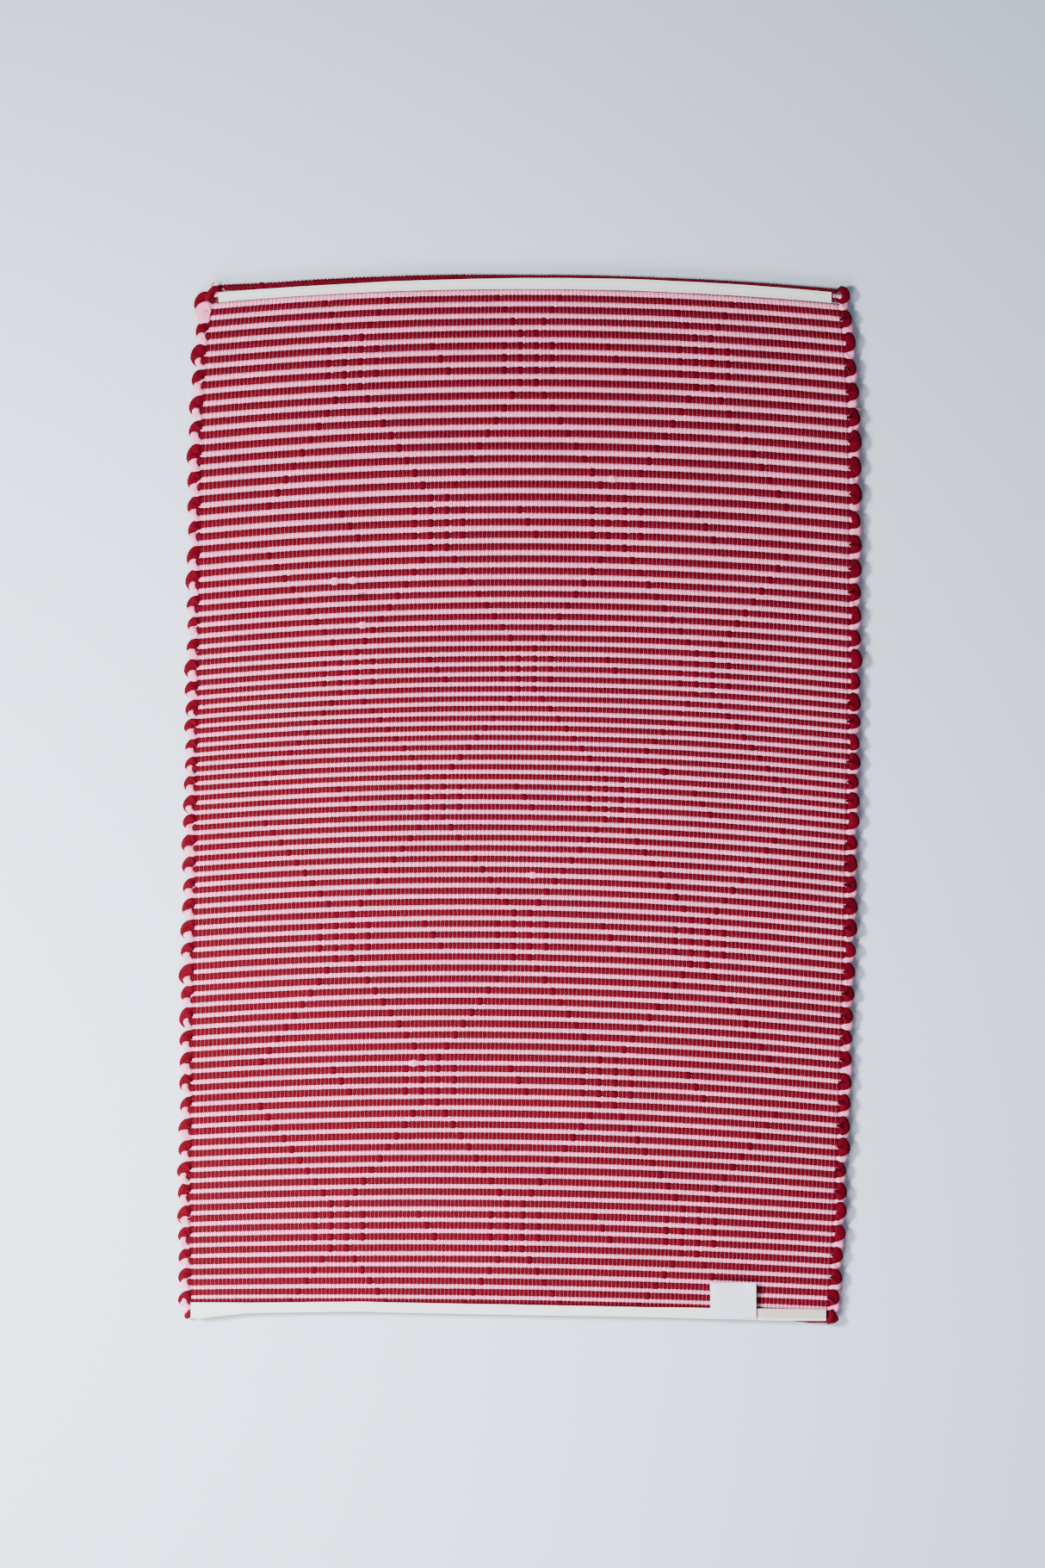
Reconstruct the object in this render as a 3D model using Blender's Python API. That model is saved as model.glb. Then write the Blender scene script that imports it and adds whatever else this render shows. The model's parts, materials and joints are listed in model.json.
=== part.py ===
"""Handwoven cotton bath mat, lying with its reverse side up, in metres.

X runs across the mat along the weft, Y along the warp, Z up. The origin is on the floor
under the middle. The cloth lies a little out of square, as it came off the loom: its rows
bow, tilt and spread. The mat folds in half about an axis that lies above it, between two
weft rows, and its care label flips over a sewn edge on the last hem tape.
"""

import math

import bpy
import bmesh

# Driving dimensions
HALF_WIDTH = 0.2542       # half of a weft row, between its two turns
TURN_DEPTH = 0.009        # how far a weft turn stands out past the rows
RED_ROWS = 94             # a pink row lies between each two red rows
PILE_HEIGHT = 0.0028      # loops that stand out of the face side
WEFT_THICKNESS = 0.0048
WARP_THICKNESS = 0.0006
TAPE_THICKNESS = 0.0007
THREAD_THICKNESS = 0.0003
LEAF_THICKNESS = 0.0003   # one leaf of the care label
GAP = 0.0003              # between two pieces that touch
ROW_GAP = 0.0004          # between two rows

# Where the rows lie: evenly, then moved down where the cloth was beaten up less, and drawn
# together at both ends, where the tapes hold them
FIRST_ROW_Y = 0.4111
LAST_ROW_Y = -0.4039
SLACK_SHIFT = 0.0238
SLACK_ROW = 26.9
SLACK_SPREAD = 17.1
FIRST_PULL = 0.002
LAST_PULL = 0.0035
PULL_ROWS = 1.2

# How the cloth lies out of square: shares run from 0 at the first row to 1 at the last
BOW = 0.0093               # the middle of a row above its ends, until near the last rows
BOW_FADE = 6              # power of the share at which the bow fades
LAST_BOW = 0.003
TILT = 0.0044             # the left end of a row above its middle, in the second half
TILT_MIDDLE = 0.42
TILT_SPREAD = 0.12
BOW_REACH = 0.255         # x at which a row has its whole bow and tilt
BOW_STEP = 0.130          # the bow is drawn in straight runs this long
DRIFT_START = 0.00421      # the middle of the first row to the right, the last to the left
DRIFT = 0.013
NARROW_START = 0.012      # how much the first rows and the last are shorter, at each side
NARROW_START_SPREAD = 0.06
NARROW_END = 0.0058

# Where one length of weft yarn ends and the next begins, as row numbers of its colour
RED_YARN_ENDS = (27, 36, 78)
PINK_YARN_ENDS = (24, 56)

# Pile loops: clusters on a staggered lattice, counted in red rows and in warp spaces
WARP_SPACE = 0.00315
CLUSTER_ROW_STEP = 13
FIRST_CLUSTER_ROW = 7
CLUSTER_COLUMN_STEP = 22
CLUSTER_COLUMNS = 2       # on each side of the middle column
CLUSTER_ROWS = 3          # red rows in one cluster
LARGE_CLUSTER_WIDTH = 0.044
SMALL_CLUSTER_WIDTH = 0.019

# Warp threads: each one here stands for a group of real ones
WARP_PANELS = 4           # side by side, in each half
WARPS_PER_PANEL = 10
WARP_WIDTH = 0.0012
HEADING_DEPTH = 0.006     # strip of warp ends under the tape

# Hem tapes and seams
TAPE_WIDTH = 0.010
TAPE_INSET = 0.004        # from the end of the rows to the end of the tape
SEAM_INSET = 0.0015
SEAM_WIDTH = 0.0006

# Care label
LABEL_X = 0.166
LABEL_WIDTH = 0.035
LABEL_ALLOWANCE = 0.003   # sewn strip at its foot
LABEL_DROP = 0.0242       # free part, from its foot to its folded edge
LABEL_BACK_OFFSET = 0.002
LABEL_AXIS_LIFT = 0.0004

# Motion
FOLD_AXIS_LIFT = 0.010    # above the hem tape
FOLD_AXIS_X = 0.180       # where the fold's straight axis crosses the bowed row above it

# A turn's rounded corners, as shares of its depth and of a row's width
TURN_SHOULDER_OUT = 0.7
TURN_SHOULDER_IN = 0.4

# Heights
WEFT_BOTTOM = PILE_HEIGHT
WEFT_TOP = WEFT_BOTTOM + WEFT_THICKNESS
WEFT_MIDDLE = (WEFT_BOTTOM + WEFT_TOP) / 2
UPPER_TURN = (WEFT_MIDDLE + GAP / 2, WEFT_TOP)
LOWER_TURN = (WEFT_BOTTOM, WEFT_MIDDLE - GAP / 2)
WARP_BOTTOM = WEFT_TOP + GAP
WARP_TOP = WARP_BOTTOM + WARP_THICKNESS
TAPE_BOTTOM = WARP_TOP + GAP
TAPE_TOP = TAPE_BOTTOM + TAPE_THICKNESS
SEAM_BOTTOM = TAPE_TOP + GAP
SEAM_TOP = SEAM_BOTTOM + THREAD_THICKNESS
BACK_LEAF_BOTTOM = SEAM_TOP + GAP
BACK_LEAF_TOP = BACK_LEAF_BOTTOM + LEAF_THICKNESS
FRONT_LEAF_BOTTOM = BACK_LEAF_TOP + GAP
FRONT_LEAF_TOP = FRONT_LEAF_BOTTOM + LEAF_THICKNESS
LABEL_AXIS_Z = FRONT_LEAF_TOP + LABEL_AXIS_LIFT
FOLD_AXIS_Z = TAPE_TOP + FOLD_AXIS_LIFT

ROWS = 2 * RED_ROWS - 1

COLOURS = {
    "red_cotton": (0.24, 0.004, 0.012),
    "pink_cotton": (0.75, 0.48, 0.55),
    "warp_cotton": (0.80, 0.58, 0.60),
    "hem_tape": (0.78, 0.77, 0.72),
    "sewing_thread": (0.84, 0.82, 0.78),
    "label_cloth": (0.74, 0.76, 0.81),
}


def remove_scene_objects():
    for old in list(bpy.data.objects):
        bpy.data.objects.remove(old)


def cloth_material(name):
    material = bpy.data.materials.new(name)
    material.use_nodes = True
    shader = material.node_tree.nodes["Principled BSDF"]
    shader.inputs["Base Color"].default_value = (*COLOURS[name], 1)
    shader.inputs["Roughness"].default_value = 0.95
    shader.inputs["Metallic"].default_value = 0
    return material


def axis_empty(name, location):
    empty = bpy.data.objects.new(name, None)
    empty.empty_display_size = 0.05
    empty.location = location
    bpy.context.scene.collection.objects.link(empty)
    return empty


def bow_share(x):
    """The square of x over the reach, drawn in straight runs so that all rows bend alike."""
    run = math.floor(x / BOW_STEP)
    low, high = run * BOW_STEP, (run + 1) * BOW_STEP
    along = (x - low) / BOW_STEP
    return (low**2 * (1 - along) + high**2 * along) / BOW_REACH**2


def row_y(row, x):
    """Middle line of weft row number row at x. Halves are the lines between two rows."""
    red = row / 2
    share = red / (RED_ROWS - 1)
    even = FIRST_ROW_Y + (LAST_ROW_Y - FIRST_ROW_Y) * share
    slack = SLACK_SHIFT * math.exp(-(((red - SLACK_ROW) / SLACK_SPREAD) ** 2))
    pull = FIRST_PULL * math.exp(-max(red, 0) / PULL_ROWS)
    pull -= LAST_PULL * math.exp(-max(RED_ROWS - 1 - red, 0) / PULL_ROWS)
    bow = BOW * (1 - max(share, 0) ** BOW_FADE) + LAST_BOW
    tilt = TILT * (1 + math.tanh((share - TILT_MIDDLE) / TILT_SPREAD)) / 2
    return even - slack - pull - bow * bow_share(x) - tilt * x / BOW_REACH


def row_ends(row):
    """Left and right end of a row, where its turns begin."""
    share = row / (ROWS - 1)
    middle = DRIFT_START - DRIFT * share**2
    narrow = NARROW_START * math.exp(-share / NARROW_START_SPREAD) + NARROW_END * share**BOW_FADE
    return middle - HALF_WIDTH + narrow, middle + HALF_WIDTH - narrow


def upper_edge(row, x):
    return row_y(row - 0.5, x) - ROW_GAP / 2


def lower_edge(row, x):
    return row_y(row + 0.5, x) + ROW_GAP / 2


def fold_row():
    """The first row below the fold: the fold runs between it and the row above."""
    return next(row for row in range(ROWS) if row_y(row, FOLD_AXIS_X) < 0)


def with_bends(xs):
    """These places across the mat in order, and those where the bow's straight runs meet."""
    low, high = min(xs), max(xs)
    count = math.ceil(BOW_REACH / BOW_STEP)
    bends = [n * BOW_STEP for n in range(-count, count + 1)]
    return sorted({*xs, *[x for x in bends if low < x < high]})


def cluster_spans(red_row):
    """Where this red row carries pile loops, as (low x, high x), from left to right."""
    spans = []
    for column in range(-CLUSTER_COLUMNS, CLUSTER_COLUMNS + 1):
        for step in range(RED_ROWS // CLUSTER_ROW_STEP + 1):
            centre_row = FIRST_CLUSTER_ROW + step * CLUSTER_ROW_STEP
            if abs(red_row - centre_row) > CLUSTER_ROWS // 2:
                continue
            on_lattice = (column + step) % 2 == 0
            width = LARGE_CLUSTER_WIDTH if on_lattice else SMALL_CLUSTER_WIDTH
            x = column * CLUSTER_COLUMN_STEP * WARP_SPACE
            spans.append((x - width / 2, x + width / 2))
    return spans


class Terrace:
    """A closed solid of flat cells side by side, each from its own low to its own high level."""

    def __init__(self):
        self.cells = []

    def add(self, points, levels):
        self.cells.append(([(round(x, 7), round(y, 7)) for x, y in points], levels))

    def strip(self, xs, near, far, levels):
        """Cells between two lines across the mat, one between each two of the places xs."""
        for a, b in zip(xs, xs[1:]):
            self.add([(a, near(a)), (b, near(b)), (b, far(b)), (a, far(a))], levels)

    def mesh(self, name):
        """The outer faces of all cells, with a corner wherever a level meets an upright edge."""
        solid = bmesh.new()
        corners, levels_at, cells_at = {}, {}, {}

        def face(points):
            solid.faces.new(
                [corners.get(p) or corners.setdefault(p, solid.verts.new(p)) for p in points]
            )

        for points, levels in self.cells:
            for a, b in zip(points, points[1:] + points[:1]):
                levels_at.setdefault(a, set()).update(levels)
                cells_at.setdefault(tuple(sorted((a, b))), []).append(levels)
            for z in levels:
                face([(x, y, z) for x, y in points])
        for (a, b), spans in cells_at.items():
            steps = sorted({z for span in spans for z in span})
            for low, high in zip(steps, steps[1:]):
                if sum(span[0] <= low and high <= span[1] for span in spans) == 1:
                    up = [(*a, z) for z in sorted(levels_at[a]) if low <= z <= high]
                    down = [(*b, z) for z in sorted(levels_at[b], reverse=True) if low <= z <= high]
                    face(up + down)
        bmesh.ops.recalc_face_normals(solid, faces=solid.faces)
        data = bpy.data.meshes.new(name)
        solid.to_mesh(data)
        solid.free()
        return data

    def piece(self, name, material, parent):
        """The sub-part. Its mesh is in world places, so it is counter-moved under its parent."""
        data = self.mesh(name)
        data.materials.append(material)
        piece = bpy.data.objects.new(name, data)
        bpy.context.scene.collection.objects.link(piece)
        if parent:
            piece.parent = parent
            piece.location = -parent.location
        return piece


def add_row(solid, row, spans):
    """One row at its whole thickness, and down to the floor where it carries loops."""
    left, right = row_ends(row)
    xs = with_bends([left, right, *[x for span in spans for x in span]])
    for a, b in zip(xs, xs[1:]):
        looped = any(low <= a and b <= high for low, high in spans)
        solid.strip(
            [a, b], lambda x: lower_edge(row, x), lambda x: upper_edge(row, x),
            (0.0 if looped else WEFT_BOTTOM, WEFT_TOP),
        )


def add_turn(solid, row, is_left, levels):
    """The D-shaped turn from a row to the next of its colour, round the end of the row between."""
    side = -1 if is_left else 1
    x0, x1, x2 = (row_ends(r)[0 if is_left else 1] for r in (row, row + 1, row + 2))
    inner = side * (max(side * x0, side * x1, side * x2) + GAP)
    top, upper_inner = upper_edge(row, x0), lower_edge(row, x0)
    lower_inner, bottom = upper_edge(row + 2, x2), lower_edge(row + 2, x2)
    out = (x0 + x2) / 2 + side * TURN_DEPTH
    shoulder = (x0 + x2) / 2 + side * TURN_DEPTH * TURN_SHOULDER_OUT
    solid.add(
        [
            (inner, upper_inner),
            (x0, upper_inner),
            (x0, top),
            (shoulder, top - (top - upper_inner) * TURN_SHOULDER_IN),
            (out, (upper_inner + lower_inner) / 2),
            (shoulder, bottom + (lower_inner - bottom) * TURN_SHOULDER_IN),
            (x2, bottom),
            (x2, lower_inner),
            (inner, lower_inner),
        ],
        levels,
    )


def weft_yarn(name, first, last, is_red, material, parent):
    """One length of weft that runs to and fro over rows first to last of its colour."""
    solid = Terrace()
    for number in range(first, last + 1):
        row = 2 * number + (0 if is_red else 1)
        add_row(solid, row, cluster_spans(number) if is_red else [])
        if number < last:
            is_left = number % 2 == 1
            add_turn(solid, row, is_left, LOWER_TURN if is_left == is_red else UPPER_TURN)
    return solid.piece(name, material, parent)


def slab(name, x_range, near, far, levels, material, parent):
    """A flat piece of cloth or thread between two lines across the mat."""
    solid = Terrace()
    solid.strip(with_bends(x_range), near, far, levels)
    return solid.piece(name, material, parent)


def warp_panel(name, threads, heading, fold_edge, material, parent):
    """Warp threads side by side, held together by the strip of their ends under the tape."""
    solid = Terrace()
    near, far = heading
    levels = (WARP_BOTTOM, WARP_TOP)
    edges = [x + s * WARP_WIDTH / 2 for x in threads for s in (-1, 1)]
    solid.strip(edges, near, far, levels)
    for a, b in zip(edges[::2], edges[1::2]):
        solid.strip([a, b], far, fold_edge, levels)
    return solid.piece(name, material, parent)


def yarn_lengths(count, yarn_ends, first_below):
    """(first, last, is it in the upper half) for each length, also cut where the mat folds."""
    cuts = sorted({0, *yarn_ends, first_below, count})
    return [(a, b - 1, b <= first_below) for a, b in zip(cuts, cuts[1:])]


def make_wefts(materials, upper):
    red_below = (fold_row() + 1) // 2
    pink_below = fold_row() // 2
    for first_name, count, ends, below, is_red in (
        ("weft_red", RED_ROWS, RED_YARN_ENDS, red_below, True),
        ("weft_pink", RED_ROWS - 1, PINK_YARN_ENDS, pink_below, False),
    ):
        material = materials["red_cotton" if is_red else "pink_cotton"]
        for number, (first, last, is_upper) in enumerate(yarn_lengths(count, ends, below), 1):
            name = f"{first_name}_{number}"
            weft_yarn(name, first, last, is_red, material, upper if is_upper else None)


def tape_line(is_upper, depth):
    """A line across the mat, depth in from the outer edge of that end's tape."""
    if is_upper:
        return lambda x: lower_edge(0, x) - depth
    return lambda x: lower_edge(ROWS - 1, x) + depth


def tape_ends(is_upper):
    left, right = row_ends(0 if is_upper else ROWS - 1)
    return left + TAPE_INSET, right - TAPE_INSET


def make_end(materials, is_upper, parent):
    """At one end of the mat: the warp threads, the tape over their ends, and its two seams."""
    half = "upper" if is_upper else "lower"
    side = 1 if is_upper else -1
    left, right = tape_ends(is_upper)
    pitch = (right - left) / (WARP_PANELS * WARPS_PER_PANEL)
    margin = (TAPE_WIDTH - HEADING_DEPTH) / 2
    heading = tape_line(is_upper, margin), tape_line(is_upper, TAPE_WIDTH - margin)
    for panel in range(WARP_PANELS):
        first = panel * WARPS_PER_PANEL
        threads = [left + pitch * (n + 0.5) for n in range(first, first + WARPS_PER_PANEL)]
        warp_panel(
            f"warp_{half}_{panel + 1}", threads, heading,
            lambda x: row_y(fold_row() - 0.5, x) + side * GAP / 2,
            materials["warp_cotton"], parent,
        )
    slab(
        f"hem_tape_{half}", (left, right), tape_line(is_upper, 0), tape_line(is_upper, TAPE_WIDTH),
        (TAPE_BOTTOM, TAPE_TOP), materials["hem_tape"], parent,
    )
    for seam, depth in (("outer", SEAM_INSET), ("inner", TAPE_WIDTH - SEAM_INSET)):
        slab(
            f"hem_seam_{half}_{seam}", (left + SEAM_INSET, right - SEAM_INSET),
            tape_line(is_upper, depth - SEAM_WIDTH / 2), tape_line(is_upper, depth + SEAM_WIDTH / 2),
            (SEAM_BOTTOM, SEAM_TOP), materials["sewing_thread"], parent,
        )


def make_label(materials, label_axis, foot_y):
    """Two leaves of one folded label, its sewn foot on the last tape, and the thread on it."""
    left, right = LABEL_X - LABEL_WIDTH / 2, LABEL_X + LABEL_WIDTH / 2
    seam_y = foot_y - LABEL_ALLOWANCE + SEAM_INSET
    cloth, thread = materials["label_cloth"], materials["sewing_thread"]
    leaf_near, leaf_far = foot_y + GAP, foot_y + GAP + LABEL_DROP
    rectangles = (
        ("label_foot", (left, right), (foot_y - LABEL_ALLOWANCE, foot_y),
         (BACK_LEAF_BOTTOM, FRONT_LEAF_BOTTOM), cloth, None),
        ("label_seam", (left + SEAM_INSET, right - SEAM_INSET),
         (seam_y - SEAM_WIDTH / 2, seam_y + SEAM_WIDTH / 2),
         (FRONT_LEAF_BOTTOM + GAP, FRONT_LEAF_BOTTOM + GAP + THREAD_THICKNESS / 2), thread, None),
        ("label_leaf_back", (left - LABEL_BACK_OFFSET, right - LABEL_BACK_OFFSET),
         (leaf_near, leaf_far), (BACK_LEAF_BOTTOM, BACK_LEAF_TOP), cloth, label_axis),
        ("label_leaf_front", (left, right),
         (leaf_near, leaf_far), (FRONT_LEAF_BOTTOM, FRONT_LEAF_TOP), cloth, label_axis),
    )
    for name, (x0, x1), (y0, y1), levels, material, parent in rectangles:
        solid = Terrace()
        solid.add([(x0, y0), (x1, y0), (x1, y1), (x0, y1)], levels)
        solid.piece(name, material, parent)


def main():
    remove_scene_objects()
    materials = {name: cloth_material(name) for name in COLOURS}
    fold_y = row_y(fold_row() - 0.5, FOLD_AXIS_X)
    foot_y = lower_edge(ROWS - 1, LABEL_X) + LABEL_ALLOWANCE
    upper = axis_empty("mat_fold_axis", (0, fold_y, FOLD_AXIS_Z))
    label_axis = axis_empty("label_axis", (LABEL_X, foot_y + GAP / 2, LABEL_AXIS_Z))
    make_wefts(materials, upper)
    make_end(materials, True, upper)
    make_end(materials, False, None)
    make_label(materials, label_axis, foot_y)


main()
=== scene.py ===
"""Handwoven cotton bath mat, reverse side up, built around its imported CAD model."""

import json
import math

import bpy
import numpy as np
from bpy.props import FloatProperty, FloatVectorProperty, PointerProperty
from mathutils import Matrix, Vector


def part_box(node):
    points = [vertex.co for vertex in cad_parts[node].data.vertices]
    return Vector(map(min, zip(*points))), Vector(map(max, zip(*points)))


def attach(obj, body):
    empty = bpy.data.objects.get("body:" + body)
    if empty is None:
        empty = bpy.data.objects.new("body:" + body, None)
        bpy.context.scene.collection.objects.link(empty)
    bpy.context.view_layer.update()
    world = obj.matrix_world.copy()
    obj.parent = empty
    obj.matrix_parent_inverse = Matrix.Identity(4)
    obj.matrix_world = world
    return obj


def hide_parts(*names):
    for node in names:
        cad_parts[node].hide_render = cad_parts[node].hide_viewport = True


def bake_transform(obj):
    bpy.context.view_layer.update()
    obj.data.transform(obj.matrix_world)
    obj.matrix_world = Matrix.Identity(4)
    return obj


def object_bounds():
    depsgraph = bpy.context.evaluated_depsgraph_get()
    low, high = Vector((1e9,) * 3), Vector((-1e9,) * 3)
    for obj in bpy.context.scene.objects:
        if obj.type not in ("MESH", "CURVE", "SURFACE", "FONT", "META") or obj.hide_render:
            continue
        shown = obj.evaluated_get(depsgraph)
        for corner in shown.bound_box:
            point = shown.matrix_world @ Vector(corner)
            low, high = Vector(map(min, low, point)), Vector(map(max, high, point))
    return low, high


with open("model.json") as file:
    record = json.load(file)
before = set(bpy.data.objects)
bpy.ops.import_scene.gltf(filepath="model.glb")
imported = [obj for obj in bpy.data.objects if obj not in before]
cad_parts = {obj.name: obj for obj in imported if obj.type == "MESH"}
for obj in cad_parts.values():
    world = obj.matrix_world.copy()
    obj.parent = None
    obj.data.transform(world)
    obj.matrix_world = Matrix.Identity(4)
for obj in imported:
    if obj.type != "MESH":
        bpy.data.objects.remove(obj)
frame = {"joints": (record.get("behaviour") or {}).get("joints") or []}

CAD_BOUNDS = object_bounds()

bl_info = {
    "name": "Handwoven Bath Mat",
    "version": (1, 0, 0),
    "blender": (4, 5, 0),
    "location": "View3D > Sidebar > Bath Mat",
    "description": "Builds a handwoven two-colour bath mat with taped ends and a care label",
    "category": "Add Mesh",
}

# The cloth, as the CAD model has it: rows of two colours by turns, numbered from the first end
HALF_WIDTH = 0.2542
RED_ROWS = 94
ROWS = 2 * RED_ROWS - 1
FIRST_ROW_Y, LAST_ROW_Y = 0.4111, -0.4039
SLACK_SHIFT, SLACK_ROW, SLACK_SPREAD = 0.0238, 26.9, 17.1
FIRST_PULL, LAST_PULL, PULL_ROWS = 0.002, 0.0035, 1.2
BOW, BOW_FADE, LAST_BOW, BOW_REACH = 0.0093, 6, 0.003, 0.255
TILT, TILT_MIDDLE, TILT_SPREAD = 0.0044, 0.42, 0.12
DRIFT_START, DRIFT = 0.00421, 0.013
# The corner by the last row's right end hangs down a little
DROOP, DROOP_ROWS, DROOP_START, DROOP_LENGTH = 0.0036, 2.2, 0.13, 0.09
NARROW_START, NARROW_START_SPREAD, NARROW_END = 0.012, 0.06, 0.0058

# One cell of a red row lies between two warp threads of the first set. A station is half a cell
CELLS = 161
STATIONS = 2 * CELLS + 1
CENTRE_CELL = CELLS // 2

# Where the pile loops are pulled out: on a lattice of rows and cells
LATTICE_ROWS = 13
FIRST_LATTICE_ROW = 7
LATTICE_CELLS = 22
LATTICE_REACH = 3

# The first row stands alone outside the tape, as a beaded rope: places across, and half widths
ROPE_WIDTHS = (
    (-0.235, -0.16, -0.13, -0.10, -0.05, 0.0, 0.10, 0.16, 0.24),
    (0.0027, 0.0029, 0.0029, 0.0025, 0.0023, 0.0017, 0.0014, 0.0015, 0.0019),
)
ROPE_LIFT = 0.0012
ROPE_PINCH, ROPE_BELLY = 0.74, 1.05        # shares of its half width, under the warp and between
ROPE_RISE, ROPE_RISE_END, ROPE_RISE_LENGTH = 0.0016, -0.200, 0.035   # its left end turns up

# Half widths as shares of half the pitch, with red FULLER and pink thinner in the later rows
RED_WIDTH, PINK_WIDTH, FULLER = 1.24, 1.01, 0.10
FULLER_START, FULLER_LENGTH = 0.55, 0.15
SIZE_CHANGE = 0.025
MOST_HALF_WIDTH = 0.0037
PINCHED_RED_WIDTH = 0.93
SECOND_RED_WIDTH, SECOND_PINK_WIDTH, SECOND_RED_SHIFT = 0.6, 1.15, 0.0012   # beside the first tape
PINCHED_HEIGHT, PINK_HEIGHT = 0.88, 0.93
PINCHED_DROP, BELLY_LIFT, COLOUR_LIFT = 0.00014, 0.00010, (0.00014, -0.00010)
WOBBLE, WOBBLE_WAVES = 0.00022, 9
ACROSS_CHANGE, ALONG_CHANGE, LIFT_CHANGE = 0.00008, 0.00004, 0.00006

# How tightly the warp binds each kind of place, for the grooves between the cells, in bump and in painted
# shade
PINCHED_BIND, BELLY_BIND, ROPE_BIND, LOOP_BIND, CREASE_BIND = (0.8, 1.15), 1.0, 1.1, 0.1, 1.7

# A pulled loop is fatter by a random share of LOOP_SHAPE: station, width and lift. Beside it the
# yarn is creased
LOOP_FAT, LOOP_CREASE, CREASE_DROP, CREASE_FILL = (0.2, 1.1), (0.32, 0.78), 0.0004, 0.2
LOOP_SHAPE = ((-1, -0.06, 0.0001), (0, 0.34, 0.0006), (1, -0.03, 0.00025))
LUMP_SHAPE, LUMP_LIFT = ((-2, 0.0), (-1, 0.75), (0, 1.0), (1, 0.75), (2, 0.0)), 0.0009
# How far pink drops at its stations by the selvedges, under red's turns
PINK_DROPS = ((0, 0.0008), (1, 0.0004), (-1, 0.0012), (-2, 0.0008))

# Slubs: row, place across and half width
LUMPS = (
    (0, -0.2014, 0.0034), (49, -0.145, 0.0034), (49, -0.131, 0.0031), (57, -0.124, 0.0033),
    (107, 0.009, 0.0030), (33, 0.071, 0.0028), (86, 0.112, 0.0032), (141, -0.083, 0.0031),
)

# Yarn lengths, as first and last row of their colour
RED_LENGTHS = ((0, 26), (27, 35), (36, 44), (45, 77), (78, 93))
PINK_LENGTHS = ((0, 23), (24, 44), (45, 55), (56, 92))

FLOOR_Z = CAD_BOUNDS[0].z
WEFT_MIDDLE = (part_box("weft_pink_1")[0].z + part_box("weft_pink_1")[1].z) / 2
WEFT_HALF_HEIGHT = (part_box("weft_pink_1")[1].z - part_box("weft_pink_1")[0].z) / 2
FOLD_Y = next(j["pos_m"][1] for j in frame["joints"] if j["name"] == "mat_fold")
FOLD_REACH = 0.021
CAMERA_HEIGHT = 3.2
VIEW_LENGTH = 1.2237       # of the floor, along the camera's long side

rng = np.random.default_rng(20)


def row_y(row, x):
    """Middle line of a weft row at x."""
    red = row / 2
    share = red / (RED_ROWS - 1)
    even = FIRST_ROW_Y + (LAST_ROW_Y - FIRST_ROW_Y) * share
    slack = SLACK_SHIFT * np.exp(-(((red - SLACK_ROW) / SLACK_SPREAD) ** 2))
    pull = FIRST_PULL * np.exp(-np.maximum(red, 0) / PULL_ROWS)
    pull = pull - LAST_PULL * np.exp(-np.maximum(RED_ROWS - 1 - red, 0) / PULL_ROWS)
    bow = BOW * (1 - np.maximum(share, 0) ** BOW_FADE) + LAST_BOW
    tilt = TILT * (1 + np.tanh((share - TILT_MIDDLE) / TILT_SPREAD)) / 2
    droop = DROOP * np.clip((x - DROOP_START) / DROOP_LENGTH, 0, 1)
    droop = droop * np.exp(-np.maximum(ROWS - 1 - row, 0) / DROOP_ROWS)
    return even - slack - pull - droop - bow * (x / BOW_REACH) ** 2 - tilt * x / BOW_REACH


def row_ends(row):
    """Left and right end of a row, where its turns begin."""
    share = row / (ROWS - 1)
    middle = DRIFT_START - DRIFT * share**2
    narrow = NARROW_START * np.exp(-share / NARROW_START_SPREAD) + NARROW_END * share**BOW_FADE
    return middle - HALF_WIDTH + narrow, middle + HALF_WIDTH - narrow


# Outer and inner edge of the tape at the labelled end, over places across
LOWER_TAPE_X = (-0.250, -0.213, -0.125, -0.005, 0.097, 0.197, 0.231)
LOWER_TAPE_OUTER = (-0.4052, -0.4012, -0.4000, -0.4022, -0.4045, -0.4068, -0.4072)
LOWER_TAPE_INNER = (-0.3930, -0.3933, -0.3924, -0.3943, -0.3970, -0.3977, -0.3984)

# Right of LAST_ROW_SHOWS the last row is seen past the tape, by LAST_ROW_PEEP, and is thinner
LAST_ROW_SHOWS, LAST_ROW_FADE, LAST_ROW_PEEP = 0.200, 0.025, 0.0022
LAST_ROW_THINNER, LAST_ROW_GAP = 0.35, 0.0004


def tape_lower(x, edge):
    return np.interp(x, LOWER_TAPE_X, edge)


def loop_cells():
    """(red row, cell) of every pile loop: clusters on a staggered lattice and lines between them."""
    found = set()
    steps = range(-1, RED_ROWS // LATTICE_ROWS + 2)
    for step in steps:
        for column in range(-LATTICE_REACH, LATTICE_REACH + 1):
            row = FIRST_LATTICE_ROW + step * LATTICE_ROWS
            cell = CENTRE_CELL + column * LATTICE_CELLS
            on_lattice = (column + step) % 2 == 0
            inner = abs(column) < LATTICE_REACH
            if on_lattice and inner:
                found |= {(row + r, cell + c) for r in (-1, 0, 1) for c in (-6, -2, 2, 6)}
            elif inner:
                found |= {(row - 1, cell - 2), (row, cell), (row + 1, cell + 2)}
            if on_lattice:
                for n in range(1, LATTICE_CELLS // 2):
                    for side in (-1, 1):
                        if abs(column + side) <= LATTICE_REACH:
                            found.add((row + 1 + n, cell + side * 2 * n))
    return {(row, cell) for row, cell in found if 2 <= row < RED_ROWS - 1 and 0 < cell < CELLS - 2}


def soft_noise(count, waves, generator):
    """A gentle random curve from -1 to 1 over count places."""
    t = np.linspace(0, 1, count)
    curve = np.zeros(count)
    for wave in range(1, waves + 1):
        curve += generator.normal() * np.sin(2 * np.pi * (wave * t + generator.random())) / wave
    return np.clip(curve / 2, -1, 1)


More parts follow.
